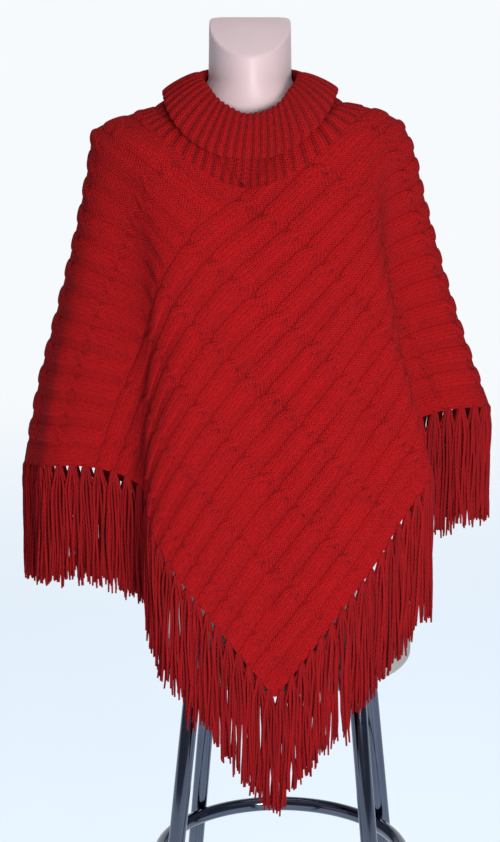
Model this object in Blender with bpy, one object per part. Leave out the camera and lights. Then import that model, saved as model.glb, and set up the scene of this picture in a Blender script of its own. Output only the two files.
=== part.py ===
"""A cable-knit poncho with a folded ribbed collar and a knotted fringe, worn by a
limbless dress form that stands on a four-legged bar stool.

The poncho is cut as two equal oblongs. The short end of each is sewn to the start of
the other's long edge, and what is left of those two long edges is the neck. A place on
a panel is (u, v): u along the cables and v across them, from the neck edge to the hem.
Metres, +Z up, front towards -Y, origin on the floor below the middle of the part.
"""

import math

import bpy
import numpy as np

# Cut of the poncho
PANEL_WIDTH = 0.46
PANEL_LENGTH = 0.83
NECK_RUN = PANEL_LENGTH - PANEL_WIDTH
CABLE_COUNT = 14
CABLE_PITCH = 0.031
CABLE_TWIST = 0.080
CABLE_STEPS = (0.0, 0.3, 0.7)
NECK_STEPS = 14
PART_GAP = 0.0003
SEAM_GAP = 0.0006
EDGE_STEP = 0.004

# Thickness of the knit
WALL_DITCH = 0.0030
WALL_CABLE = 0.0064
WALL_ROLL = 0.0009
WALL_EDGE = 0.0040
WALL_MOST = 0.0075

# Fringe
LOCK_PITCH = 0.0225
LOCK_SHARE = 0.58
LOCK_LENGTH = 0.150
LOCK_UNEVEN = 0.010
LOCK_RHYTHM = (2.4, 0.7)
LOCK_SPREAD = 0.9
STRIP_GAP = 0.0009
STRIP_DEPTH = 0.004
STRIP_THICK = 0.006
STRIP_END = 0.0012

# Collar
RIB_COUNT = 56
RIB_RAISE = 0.0012
COLLAR_TOP = {"side": 0.0625, "front": 0.070, "back": 0.072}
COLLAR_GAP = 0.0008
COLLAR_TOP_Z = {"side": 1.478, "front": 1.428, "back": 1.484}

# Stool and dress form
STOOL_X = 0.0433
STOOL_TURN = math.radians(-6.2)
SEAT_RADIUS = 0.172
SEAT_TOP = 0.750
SEAT_THICK = 0.036
LEG_RADIUS = 0.011
LEG_SPREAD_TOP = 0.149
LEG_SPREAD_FLOOR = 0.245
FOOT_RADIUS = 0.0145
FOOT_HEIGHT = 0.018
RING_HEIGHT = 0.423
RING_TUBE = 0.010
FORM_NECK_CUT = {"front_z": 1.503, "front_y": -0.050, "slope": 0.49}
FORM_SIDES = 28
FORM_POWER = 2.3

# The floor point below the middle of the whole part, from the stool's and form's own line
FRAME_X = 0.0064
FRAME_Y = 0.0014

# One row for each ring of the hanging cloth, from the neck (0) to the hem (1): how far
# it reaches to the right, left, front and back, and its height there.
RING_COLUMNS = "ring right right_z left left_z front front_z back back_z".split()
RINGS = (
    (0.00, 0.118, 1.449, 0.121, 1.443, 0.090, 1.349, 0.092, 1.362),
    (0.08, 0.156, 1.448, 0.162, 1.434, 0.106, 1.302, 0.106, 1.315),
    (0.16, 0.193, 1.438, 0.203, 1.417, 0.120, 1.253, 0.119, 1.266),
    (0.24, 0.209, 1.404, 0.209, 1.375, 0.130, 1.202, 0.130, 1.216),
    (0.40, 0.226, 1.331, 0.226, 1.291, 0.146, 1.102, 0.147, 1.116),
    (0.60, 0.251, 1.240, 0.253, 1.186, 0.166, 0.976, 0.168, 0.990),
    (0.80, 0.281, 1.148, 0.281, 1.083, 0.186, 0.850, 0.188, 0.864),
    (1.00, 0.315, 1.057, 0.302, 0.979, 0.205, 0.725, 0.209, 0.738),
)
RING_TABLE = {name: [row[i] for row in RINGS] for i, name in enumerate(RING_COLUMNS)}

# One row for each hanging fold: its side, its place in degrees round from the front,
# how deep it is at the hem, its half width in degrees and the ring where it starts.
FOLD_COLUMNS = "side angle depth half_width start".split()
FOLDS = (
    ("right", 60, 0.104, 14.5, 0.14),
    ("right", 126, 0.100, 14.5, 0.16),
    ("left", 46, 0.096, 13.5, 0.12),
    ("left", 122, 0.108, 14.5, 0.14),
    ("right", 30, 0.014, 7.0, 0.30),
    ("left", 156, 0.012, 7.0, 0.30),
    ("left", 78, 0.008, 7.0, 0.35),
)

# How far a fold pulls the ring in across and along the part, for each metre of its depth
FOLD_PULL_X = 0.90
FOLD_PULL_Y = 0.55

# How steeply the cloth's rings climb from the front point and from the back point, and
# how much the wings' hem falls from front to back
WING_TILT = {"right": 0.06, "left": 0.12}
CLIMB = {"right": {"front": 0.76, "back": 0.72}, "left": {"front": 0.70, "back": 0.74}}
LEAN_NECK = -0.006
LEAN_HEM = 0.031
RING_SQUARE = 2.3

RING_LEVELS = 60
RING_SAMPLES = 240

# One row for each level of the dress form: its height, half width and depth to front and
# back of its widest line, how much it climbs towards the right, where the shoulder stands
# higher, and how far back its widest line lies.
FORM_COLUMNS = "height half_width front back climb widest".split()
FORM_LEVELS = (
    (0.7503, 0.122, 0.096, 0.100, 0.0, 0.0),
    (0.800, 0.142, 0.106, 0.110, 0.0, 0.0),
    (0.880, 0.146, 0.104, 0.108, 0.0, 0.0),
    (0.980, 0.130, 0.094, 0.092, 0.0, 0.0),
    (1.080, 0.134, 0.098, 0.094, 0.0, 0.0),
    (1.180, 0.154, 0.112, 0.104, 0.01, 0.0),
    (1.250, 0.172, 0.102, 0.102, 0.02, 0.0),
    (1.313, 0.186, 0.084, 0.092, 0.03, 0.0),
    (1.364, 0.193, 0.068, 0.080, 0.04, 0.0),
    (1.400, 0.188, 0.058, 0.068, 0.043, 0.0),
    (1.418, 0.168, 0.054, 0.060, 0.043, 0.0),
    (1.429, 0.132, 0.052, 0.056, 0.035, 0.0),
    (1.438, 0.090, 0.053, 0.052, 0.02, 0.002),
    (1.452, 0.060, 0.059, 0.042, 0.0, 0.009),
    (1.475, 0.053, 0.076, 0.023, 0.0, 0.026),
    (1.560, 0.052, 0.078, 0.021, 0.0, 0.028),
)


def smooth_through(x, xs, ys):
    """A curve through the points (xs, ys) that never swings past them."""
    xs, ys = np.asarray(xs, float), np.asarray(ys, float)
    step = np.diff(xs)
    slope = np.diff(ys) / step
    bend = np.zeros(len(xs))
    bend[0], bend[-1] = slope[0], slope[-1]
    for i in range(1, len(xs) - 1):
        if slope[i - 1] * slope[i] > 0:
            before, after = 2 * step[i] + step[i - 1], step[i] + 2 * step[i - 1]
            bend[i] = (before + after) / (before / slope[i - 1] + after / slope[i])
    x = np.clip(x, xs[0], xs[-1])
    i = np.clip(np.searchsorted(xs, x) - 1, 0, len(step) - 1)
    t = (x - xs[i]) / step[i]
    return (
        ys[i] * (1 + 2 * t) * (1 - t) ** 2
        + bend[i] * step[i] * t * (1 - t) ** 2
        + ys[i + 1] * t * t * (3 - 2 * t)
        + bend[i + 1] * step[i] * t * t * (t - 1)
    )


def ring_value(name, ring):
    return smooth_through(ring, RING_TABLE["ring"], RING_TABLE[name])


def smooth_min(a, b, blend):
    mix = np.clip(0.5 + 0.5 * (b - a) / blend, 0, 1)
    return b + (a - b) * mix - blend * mix * (1 - mix)


def ring_plan(side, ring):
    """The ring seen from above, on one side, from the front round to the back."""
    half_width = ring_value(side, ring)
    front, back = ring_value("front", ring), ring_value("back", ring)
    angle = np.linspace(0, math.pi, RING_SAMPLES + 1)
    power = 2 / (2 + (RING_SQUARE - 2) * min(1, ring / 0.3))
    across, along = np.sin(angle).clip(0), np.cos(angle)
    x = half_width * across**power
    y = -np.where(along > 0, front, back) * np.sign(along) * np.abs(along) ** power
    for row in FOLDS:
        fold = dict(zip(FOLD_COLUMNS, row))
        if fold["side"] != side or ring <= fold["start"]:
            continue
        grown = (ring - fold["start"]) / (1 - fold["start"])
        grown = grown**0.8 * (1 - 0.5 * max(0, 1 - grown / 0.3) ** 2)
        hollow = np.exp(-(((np.degrees(angle) - fold["angle"]) / fold["half_width"]) ** 2))
        turn = math.radians(fold["angle"])
        x = x - FOLD_PULL_X * math.sin(turn) * fold["depth"] * grown * hollow
        y = y + FOLD_PULL_Y * math.cos(turn) * fold["depth"] * grown * hollow
    depth = np.where(y < 0, front, back)
    x = x if side == "right" else -x
    return x - (LEAN_NECK + (LEAN_HEM - LEAN_NECK) * ring) * y / depth, y


def ring_points(side, ring):
    """The ring's points at even steps of the cloth along it."""
    cloth = np.linspace(0, 2 * ring * PANEL_WIDTH + NECK_RUN, RING_SAMPLES + 1)
    blend = 0.05 + 0.05 * ring
    climb = CLIMB[side]
    tilt = WING_TILT[side] * ring**3 * (cloth[-1] / 2 - cloth)
    z = smooth_min(
        ring_value("front_z", ring) + climb["front"] * cloth,
        ring_value(side + "_z", ring) + tilt,
        blend,
    )
    z = smooth_min(z, ring_value("back_z", ring) + climb["back"] * (cloth[-1] - cloth), blend)
    level = np.sqrt(1 - np.clip(np.abs(np.gradient(z, cloth)), 0, 0.98) ** 2)
    level_run = np.concatenate([[0], np.cumsum((level[1:] + level[:-1]) / 2 * np.diff(cloth))])
    x, y = ring_plan(side, ring)
    run = np.concatenate([[0], np.cumsum(np.hypot(np.diff(x), np.diff(y)))])
    place = level_run / level_run[-1] * run[-1]
    return np.stack([np.interp(place, run, x), np.interp(place, run, y), z], axis=1)


DRAPE = {
    side: np.array([ring_points(side, level / RING_LEVELS) for level in range(RING_LEVELS + 1)])
    for side in ("right", "left")
}


def drape_point(side, hem, ring):
    """The cloth's outside, hem metres round the hem from the front point, on one ring."""
    run = ring * min(hem, PANEL_WIDTH)
    run += min(max(hem - PANEL_WIDTH, 0), NECK_RUN)
    run += ring * max(hem - PANEL_LENGTH, 0)
    share = run / (2 * ring * PANEL_WIDTH + NECK_RUN) * RING_SAMPLES
    level = ring * RING_LEVELS
    i, j = min(int(level), RING_LEVELS - 1), min(int(share), RING_SAMPLES - 1)
    a, b = level - i, share - j
    table = DRAPE[side]
    lower = table[i, j] * (1 - b) + table[i, j + 1] * b
    upper = table[i + 1, j] * (1 - b) + table[i + 1, j + 1] * b
    return lower * (1 - a) + upper * a


def panel_point(panel, u, v):
    """Where the place (u, v) of panel a or b hangs. Panel a is the front's main one."""
    near, far = ("right", "left") if panel == "a" else ("left", "right")
    first = PANEL_WIDTH if panel == "a" else PANEL_LENGTH
    if u >= PANEL_WIDTH:
        hem = u if panel == "a" else PANEL_WIDTH + PANEL_LENGTH - u
        return drape_point(near, hem, v / PANEL_WIDTH)
    short = PANEL_WIDTH - u
    ring = max(short, v, 1e-9) / PANEL_WIDTH
    turn = -1 if panel == "a" else 1
    if v >= short:
        return drape_point(near, first + turn * short / ring, ring)
    return drape_point(far, first + turn * v / ring, ring)


def panel_normal(panel, u, v, step=0.003):
    """The outward direction of the hanging cloth at (u, v)."""
    u0, u1 = max(u - step, 0), min(u + step, PANEL_LENGTH)
    v0, v1 = max(v - step, 0), min(v + step, PANEL_WIDTH)
    along = panel_point(panel, u1, v) - panel_point(panel, u0, v)
    across = panel_point(panel, u, v1) - panel_point(panel, u, v0)
    normal = np.cross(across, along)
    return normal / max(np.linalg.norm(normal), 1e-12)


def cloth_point(panel, u, v, thickness):
    """A point of the knit, as far out from its plain inner face as the thickness."""
    return panel_point(panel, u, v) + panel_normal(panel, u, v) * (thickness - WALL_MOST)


def seam_point(panel, u, thickness, lies_in):
    """A point of the seam along this panel's side, a half gap inside it (1) or outside (-1)."""
    other = "b" if panel == "a" else "a"
    normal = panel_normal(panel, u, 0) + panel_normal(other, PANEL_LENGTH, PANEL_WIDTH - u)
    normal /= np.linalg.norm(normal)
    edge = panel_point(panel, u, 0)
    inward = panel_point(panel, u, EDGE_STEP) - edge
    inward -= normal * inward.dot(normal)
    inward *= lies_in * SEAM_GAP / 2 / np.linalg.norm(inward)
    return edge + normal * (thickness - WALL_MOST) + inward


def knit_point(panel, u, v, thickness):
    """A point of the panel's solid, parted from the other panel where they are sewn."""
    if u >= PANEL_LENGTH:
        other = "b" if panel == "a" else "a"
        return seam_point(other, PANEL_WIDTH - v, thickness, -1)
    if v == 0 and u <= PANEL_WIDTH:
        return seam_point(panel, u, thickness, 1)
    return cloth_point(panel, u, v, thickness)


def across_steps():
    """The places across a panel: each cable's ditch and its two rolls, then the border."""
    steps = [
        (cable + step) * CABLE_PITCH for cable in range(CABLE_COUNT) for step in CABLE_STEPS
    ]
    return steps + [CABLE_COUNT * CABLE_PITCH, PANEL_WIDTH]


def shared_steps():
    """The places across a panel where the other panel's edge has its points too."""
    steps = across_steps()
    return steps[:-1:2] + [steps[-1]]


def along_steps():
    """The places along a panel: those of the seam, then the neck's."""
    seam = [PANEL_WIDTH - step for step in reversed(shared_steps())]
    neck = [PANEL_WIDTH + NECK_RUN * (i + 1) / NECK_STEPS for i in range(NECK_STEPS)]
    return seam + neck


def knit_thickness(u, column):
    """How thick the knit is on a ditch (0) or on a cable's first or second roll."""
    if column == 0:
        return WALL_DITCH
    swing = math.cos(2 * math.pi * u / CABLE_TWIST)
    return WALL_CABLE + WALL_ROLL * (swing if column == 1 else -swing)


def straighten(row, steps):
    """Puts the points between the shared ones on the straight line that joins those."""
    for j in range(1, len(row) - 2, 2):
        share = (steps[j] - steps[j - 1]) / (steps[j + 1] - steps[j - 1])
        row[j] = row[j - 1] + (row[j + 1] - row[j - 1]) * share


def knit_panel(panel):
    """Points and faces of one panel: a raised outer grid over a plain, coarser inner one."""
    us, vs = along_steps(), across_steps()
    outer, inner = [], []
    for i, u in enumerate(us):
        out_row, in_row = [], []
        for j, v in enumerate(vs):
            plain = i in (0, len(us) - 1) or j in (0, len(vs) - 1)
            thick = WALL_EDGE if plain else knit_thickness(u, j % 3)
            out_row.append(knit_point(panel, u, v, thick))
            in_row.append(knit_point(panel, u, v, 0))
        if i == len(us) - 1:
            straighten(out_row, vs)
            straighten(in_row, vs)
        outer.append(out_row)
        inner.append(in_row)
    return joined_grids(outer, inner)


def joined_grids(outer, inner):
    """One closed solid between the outer grid and every third column of the inner one."""
    rows, wide = len(outer), len(outer[0])
    kept = list(range(0, wide - 1, 3)) + [wide - 1]
    points = [p for row in outer for p in row]
    first = len(points)
    points += [row[j] for row in inner[:-1] for j in kept] + list(inner[-1])
    last = first + (rows - 1) * len(kept)

    def outside(i, j):
        return i * wide + j

    def inside(i, j):
        return last + j if i == rows - 1 else first + i * len(kept) + kept.index(j)

    faces = []
    for i in range(rows - 1):
        for j in range(wide - 1):
            loop = outside(i, j), outside(i, j + 1), outside(i + 1, j + 1), outside(i + 1, j)
            faces.append(loop)
        for j, n in zip(kept, kept[1:]):
            far = range(j, n + 1) if i == rows - 2 else (j, n)
            faces.append((inside(i, n), inside(i, j), *(inside(i + 1, k) for k in far)))
        for j in (0, wide - 1):
            loop = outside(i, j), outside(i + 1, j), inside(i + 1, j), inside(i, j)
            faces.append(loop if j == 0 else loop[::-1])
    for j, n in zip(kept, kept[1:]):
        top = [outside(0, k) for k in range(j, n + 1)]
        faces.append((inside(0, j), inside(0, n), *top[::-1]))
    for j in range(wide - 1):
        top, low = outside(rows - 1, j), inside(rows - 1, j)
        faces.append((top, top + 1, low + 1, low))
    return points, faces


def hem_frame(panel, edge, step):
    """Place, outward direction and downward direction of the hem at one of its steps."""

    def at(run, inward=0.0):
        if edge == "long":
            here = min(max(run, 0), PANEL_LENGTH), PANEL_WIDTH - inward
        else:
            here = inward, min(max(run, 0), PANEL_WIDTH)
        return knit_point(panel, *here, WALL_EDGE / 2)

    place, inside = at(step), at(step, EDGE_STEP)
    along = at(step + EDGE_STEP) - at(step - EDGE_STEP)
    out = panel_normal(panel, *((step, PANEL_WIDTH) if edge == "long" else (0.0, step)))
    down = np.cross(along, out)
    down *= math.copysign(1, down.dot(place - inside)) / np.linalg.norm(down)
    return np.array([place, out, down])


def hem_frames(panel, edge):
    """The frames along the straight runs between the steps of the panel's own edge."""
    steps = along_steps() if edge == "long" else across_steps()
    frames = np.array([hem_frame(panel, edge, step) for step in steps])

    def frame_at(run):
        k = min(max(int(np.searchsorted(steps, run)) - 1, 0), len(steps) - 2)
        share = (run - steps[k]) / (steps[k + 1] - steps[k])
        return frames[k] * (1 - share) + frames[k + 1] * share

    return frame_at


def fringe(panel, edge):
    """A narrow strip along one hem with its locks drawn down out of it."""
    length = PANEL_LENGTH if edge == "long" else PANEL_WIDTH
    count = round(length / LOCK_PITCH)
    pitch = length / count
    stations = [(STRIP_END, False)]
    for i in range(count):
        middle = (i + 0.5) * pitch
        half = LOCK_SHARE * pitch / 2
        stations += [(middle - half, True), (middle + half, False)]
    stations.append((length - STRIP_END, False))
    frame_at = hem_frames(panel, edge)
    points, faces = [], []
    for run, _ in stations:
        place, out, down = frame_at(run)
        for reach, side in ((0, 1), (0, -1), (1, -1), (1, 1)):
            drop = STRIP_GAP + STRIP_DEPTH * reach
            points.append(place + down * drop + out * side * STRIP_THICK / 2)
    for s in range(len(stations) - 1):
        a, b = 4 * s, 4 * s + 4
        faces += [(a, a + 1, b + 1, b), (a + 1, a + 2, b + 2, b + 1), (a + 3, a, b, b + 3)]
        bottom = (a + 2, a + 3, b + 3, b + 2)
        if not stations[s][1]:
            faces.append(bottom)
            continue
        root = np.array([points[k] for k in bottom])
        middle = root.mean(axis=0)
        fast, slow = (rhythm * s for rhythm in LOCK_RHYTHM)
        drop = LOCK_LENGTH + LOCK_UNEVEN * math.sin(fast) * math.cos(slow + len(edge))
        first = len(points)
        for corner in root:
            away = corner - middle
            away[2] = 0
            points.append(middle + away * LOCK_SPREAD + np.array([0, 0, -drop]))
        for k in range(4):
            n = (k + 1) % 4
            faces.append((bottom[k], bottom[n], first + n, first + k))
        faces.append((first, first + 1, first + 2, first + 3))
    last = 4 * (len(stations) - 1)
    faces += [(0, 3, 2, 1), (last, last + 1, last + 2, last + 3)]
    return points, [face[::-1] for face in faces]


def neck_step(side, step, thickness):
    """A point just above the neck edge, at one of the steps of the panel on that side."""
    panel = "a" if side == "right" else "b"
    hem = PANEL_WIDTH + NECK_RUN * step / NECK_STEPS
    u = hem if panel == "a" else PANEL_WIDTH + PANEL_LENGTH - hem
    edge = knit_point(panel, u, 0, thickness)
    away = edge - knit_point(panel, u, EDGE_STEP, thickness)
    return edge + away / np.linalg.norm(away) * COLLAR_GAP


def neck_edge(around, thickness):
    """Just above the panels' neck edge, all round: 0 front, a quarter right, a half back."""
    side = "right" if around <= 0.5 else "left"
    place = 2 * NECK_STEPS * (around if around <= 0.5 else 1 - around)
    low = min(int(place), NECK_STEPS - 1)
    ends = []
    for step in (low, low + 1):
        sides = ("right", "left") if step in (0, NECK_STEPS) else (side,)
        ends.append(sum(neck_step(near, step, thickness) for near in sides) / len(sides))
    return ends[0] + (ends[1] - ends[0]) * (place - low)


def collar_top(around):
    """The line round the neck where the collar folds over."""
    turn = 2 * math.pi * around
    end = "front" if math.cos(turn) > 0 else "back"
    lift = math.sin(turn) ** 2
    return np.array(
        [
            COLLAR_TOP["side"] * math.sin(turn),
            -COLLAR_TOP[end] * math.cos(turn),
            COLLAR_TOP_Z["side"] * lift + COLLAR_TOP_Z[end] * (1 - lift),
        ]
    )


# One row for each turn of the collar's folded section: what its height counts from,
# the height, how far out it lies, and how much of the rib it carries.
COLLAR_COLUMNS = "start height out rib".split()
COLLAR_SECTION = (
    ("inner edge", 0.0000, 0.0000, 0.0),
    ("top", -0.0080, 0.0000, 0.0),
    ("top", 0.0050, 0.0030, 0.0),
    ("top", 0.0060, 0.0085, 0.5),
    ("top", 0.0000, 0.0140, 1.0),
    ("top", -0.0260, 0.0172, 1.0),
    ("top", -0.0465, 0.0180, 1.0),
    ("top", -0.0495, 0.0140, 0.0),
    ("top", -0.0300, 0.0110, 0.0),
    ("top", -0.0050, 0.0080, 0.0),
    ("top", -0.0080, 0.0046, 0.0),
    ("top", -0.0380, 0.0046, 0.5),
    ("outer edge", 0.0000, 0.0000, 0.0),
)


def collar():
    """The folded rib: its inner layer stands on the neck edge, its outer one hangs."""
    around_count = 2 * RIB_COUNT
    points, faces = [], []
    for i in range(around_count):
        around = i / around_count
        edge, top = neck_edge(around, 0), collar_top(around)
        start = {"inner edge": edge, "outer edge": neck_edge(around, WALL_EDGE), "top": top}
        up = (top - edge) / np.linalg.norm(top - edge)
        before, after = collar_top(around - 0.01), collar_top(around + 0.01)
        along = after - before
        out = np.cross(along, up)
        out /= np.linalg.norm(out)
        for row in COLLAR_SECTION:
            turn = dict(zip(COLLAR_COLUMNS, row))
            raised = RIB_RAISE * turn["rib"] * (1 if i % 2 else -1)
            point = start[turn["start"]] + up * turn["height"] + out * (turn["out"] + raised)
            points.append(point)
    size = len(COLLAR_SECTION)
    for i in range(around_count):
        a, b = i * size, (i + 1) % around_count * size
        for k in range(size):
            n = (k + 1) % size
            faces.append((a + k, a + n, b + n, b + k))
    return points, faces


def form_outline(turn, level):
    """A point of one level's outline: 0 is its front, a quarter turn its right side."""
    across, along = math.sin(turn), math.cos(turn)
    depth = level["front"] if along > 0 else level["back"]
    x = level["half_width"] * math.copysign(abs(across) ** (2 / FORM_POWER), across)
    y = level["widest"] - depth * math.copysign(abs(along) ** (2 / FORM_POWER), along)
    return x, y


def dress_form():
    """A limbless body from the seat to the slanted cut through its neck."""
    points, faces = [], []
    heights = [row[0] for row in FORM_LEVELS]
    for row in FORM_LEVELS:
        level = dict(zip(FORM_COLUMNS, row))
        for i in range(FORM_SIDES):
            turn = 2 * math.pi * i / FORM_SIDES
            x, y = form_outline(turn, level)
            z = level["height"] + level["climb"] * x
            if row is FORM_LEVELS[-1]:
                cut = FORM_NECK_CUT
                z = cut["front_z"] + cut["slope"] * (y - cut["front_y"])
            points.append((x, y, z))
    for k in range(len(heights) - 1):
        for i in range(FORM_SIDES):
            n = (i + 1) % FORM_SIDES
            a, b = k * FORM_SIDES, (k + 1) * FORM_SIDES
            faces.append((a + i, a + n, b + n, b + i))
    last = (len(heights) - 1) * FORM_SIDES
    faces.append(tuple(range(FORM_SIDES))[::-1])
    faces.append(tuple(last + i for i in range(FORM_SIDES)))
    return points, faces


def turned(profile, sides, centre):
    """A round solid from its profile of (radius, height), bottom to top."""
    points, faces = [], []
    for radius, height in profile:
        for i in range(sides):
            turn = 2 * math.pi * (i + 0.5) / sides
            x, y = radius * math.cos(turn), radius * math.sin(turn)
            points.append((centre[0] + x, centre[1] + y, height))
    for k in range(len(profile) - 1):
        for i in range(sides):
            n = (i + 1) % sides
            a, b = k * sides, (k + 1) * sides
            faces.append((a + i, a + n, b + n, b + i))
    last = (len(profile) - 1) * sides
    faces.append(tuple(range(sides))[::-1])
    faces.append(tuple(last + i for i in range(sides)))
    return points, faces


def leg_spread(height):
    share = height / (SEAT_TOP - SEAT_THICK)
    return LEG_SPREAD_FLOOR + (LEG_SPREAD_TOP - LEG_SPREAD_FLOOR) * share


def leg_centre(index, height):
    turn = math.radians(45 + 90 * index) + STOOL_TURN
    reach = leg_spread(height)
    return STOOL_X + reach * math.cos(turn), reach * math.sin(turn)


def stool_leg(index, sides=12):
    """A straight splayed tube between two level ends."""
    low, high = FOOT_HEIGHT + PART_GAP, SEAT_TOP - SEAT_THICK - PART_GAP
    points, faces = [], []
    for height in (low, high):
        cx, cy = leg_centre(index, height)
        for i in range(sides):
            turn = 2 * math.pi * i / sides
            points.append((cx + LEG_RADIUS * math.cos(turn), cy + LEG_RADIUS * math.sin(turn), height))
    for i in range(sides):
        n = (i + 1) % sides
        faces.append((i, n, sides + n, sides + i))
    faces.append(tuple(range(sides))[::-1])
    faces.append(tuple(range(sides, 2 * sides)))
    return points, faces


def foot_ring(sides=36, tube_sides=6):
    """The ring inside the four legs that the feet rest on."""
    radius = leg_spread(RING_HEIGHT) - LEG_RADIUS - RING_TUBE - PART_GAP
    points, faces = [], []
    for i in range(sides):
        turn = 2 * math.pi * (i + 0.5) / sides + STOOL_TURN
        for k in range(tube_sides):
            tilt = 2 * math.pi * k / tube_sides
            reach = radius + RING_TUBE * math.cos(tilt)
            height = RING_HEIGHT + RING_TUBE * math.sin(tilt)
            points.append((STOOL_X + reach * math.cos(turn), reach * math.sin(turn), height))
    for i in range(sides):
        a, b = i * tube_sides, (i + 1) % sides * tube_sides
        for k in range(tube_sides):
            n = (k + 1) % tube_sides
            faces.append((a + k, b + k, b + n, a + n))
    return points, faces


def material(name, colour, roughness, metallic=0.0):
    made = bpy.data.materials.new(name)
    made.use_nodes = True
    shader = made.node_tree.nodes["Principled BSDF"]
    shader.inputs["Base Color"].default_value = (*colour, 1)
    shader.inputs["Roughness"].default_value = roughness
    shader.inputs["Metallic"].default_value = metallic
    return made


def add(name, shape, finish, sharp_degrees=35):
    """One closed solid, with its faces turned outward, as an object of its own."""
    points, faces = shape
    moved = [(p[0] - FRAME_X, p[1] - FRAME_Y, p[2]) for p in points]
    mesh = bpy.data.meshes.new(name)
    mesh.from_pydata(moved, [], faces)
    mesh.materials.append(finish)
    mesh.shade_smooth()
    mesh.set_sharp_from_angle(angle=math.radians(sharp_degrees))
    made = bpy.data.objects.new(name, mesh)
    bpy.context.collection.objects.link(made)
    return made


def clear_scene():
    for old in list(bpy.data.objects):
        bpy.data.objects.remove(old, do_unlink=True)


def build_poncho():
    knit = material("red_knit", (0.40, 0.012, 0.018), 0.85)
    add("panel_a", knit_panel("a"), knit)
    add("panel_b", knit_panel("b"), knit)
    add("collar", collar(), knit)
    for panel in "ab":
        for edge in ("long", "short"):
            add(f"fringe_{panel}_{edge}", fringe(panel, edge), knit)


def build_form():
    skin = material("form_plastic", (0.72, 0.60, 0.58), 0.40)
    add("dress_form", dress_form(), skin)


def build_stool():
    chrome = material("chrome", (0.80, 0.80, 0.80), 0.12, 1.0)
    rubber = material("rubber", (0.05, 0.05, 0.05), 0.70)
    pad = material("seat_pad", (0.62, 0.58, 0.54), 0.45)
    low = SEAT_TOP - SEAT_THICK
    profile = (
        (SEAT_RADIUS - 0.010, low),
        (SEAT_RADIUS, low + 0.008),
        (SEAT_RADIUS, SEAT_TOP - 0.012),
        (SEAT_RADIUS - 0.012, SEAT_TOP),
    )
    add("seat", turned(profile, 40, (STOOL_X, 0)), pad)
    add("foot_ring", foot_ring(), chrome)
    for index in range(4):
        add(f"leg_{index + 1}", stool_leg(index), chrome)
        foot = ((FOOT_RADIUS, 0.0), (FOOT_RADIUS, FOOT_HEIGHT))
        add(f"foot_{index + 1}", turned(foot, 12, leg_centre(index, 0)), rubber)


clear_scene()
build_poncho()
build_form()
build_stool()
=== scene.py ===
"""The looks of the cable-knit poncho, its dress form and its bar stool."""

import math

import bpy
import numpy as np
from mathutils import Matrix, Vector


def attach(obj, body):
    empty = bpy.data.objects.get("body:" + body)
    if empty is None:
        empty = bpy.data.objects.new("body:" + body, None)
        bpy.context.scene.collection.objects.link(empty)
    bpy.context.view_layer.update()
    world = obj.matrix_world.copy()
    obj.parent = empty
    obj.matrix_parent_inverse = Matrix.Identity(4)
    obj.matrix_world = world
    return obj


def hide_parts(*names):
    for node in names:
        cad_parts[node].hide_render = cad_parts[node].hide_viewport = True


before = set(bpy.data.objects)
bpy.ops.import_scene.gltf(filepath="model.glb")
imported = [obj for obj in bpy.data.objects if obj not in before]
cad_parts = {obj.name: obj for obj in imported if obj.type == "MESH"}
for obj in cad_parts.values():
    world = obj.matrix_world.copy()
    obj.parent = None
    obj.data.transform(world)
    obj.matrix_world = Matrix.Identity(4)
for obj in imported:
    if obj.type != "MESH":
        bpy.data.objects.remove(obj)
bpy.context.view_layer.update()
bpy.ops.object.select_all(action="DESELECT")


def table(columns, *rows):
    """Rows whose values go by the names of their columns."""
    return [dict(zip(columns.split(), row)) for row in rows]


TURN = 2 * math.pi

# Cut of the poncho, as in the part's source. Every length here is in metres.
PANEL_WIDTH = 0.46
PANEL_LENGTH = 0.83
NECK_RUN = PANEL_LENGTH - PANEL_WIDTH
CABLE_COUNT = 14
CABLE_PITCH = 0.031
CABLE_TWIST = 0.080
CABLES_WIDE = CABLE_COUNT * CABLE_PITCH
SEAM_GAP = 0.0001
NECK_STEPS = 14
EDGE_STEP = 0.004
NORMAL_STEP = 0.003

# The knit
WALES_IN_CABLE = 4
WALES_IN_DITCH = 2
DITCH_SHARE = WALES_IN_DITCH / (WALES_IN_CABLE + WALES_IN_DITCH)
BORDER_WALE = 0.0046
STITCH_ROW = 0.0036
RIB_ROW = 0.0034
WALL_DITCH = 0.0034
WALL_CABLE = 0.0062
WALL_EDGE = 0.0040
WALL_MOST = 0.0075
EDGE_SLOPE = 0.006
SAMPLES_ACROSS = 18
SAMPLES_IN_BORDER = 10
SAMPLE_ALONG = 0.0026
INSIDE_EVERY = (4, 3)
SHARP_FOLD = math.radians(70)

# A cable's two rolls, in shares of a twist along it and of its half width across it
CROSS_HALF = 0.14
LIFT_HALF = 0.8 * CROSS_HALF
ROLL_HALF = 0.60
ROLL_HEIGHT = 0.88
OVER_RISE = 0.42
UNDER_DIP = 0.34
ROLLS_HALF = 0.19
PUFF_SQUARE = 2.6
PUFF_POWER = 0.7
BORDER_HEIGHT = 0.40

# Painted shade of the knit: how light a cable is, and how much darker where one strand dives and
# in a ditch
LIGHT_CABLE = 0.78
DIVE_PAINTED_SHADOW = 0.55
DITCH_PAINTED_SHADE = 0.12
DIVE_HALF = 0.17
DIVE_SHARP = 0.22
DITCH_FROM = 0.85
DITCH_OVER = 0.25

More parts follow.
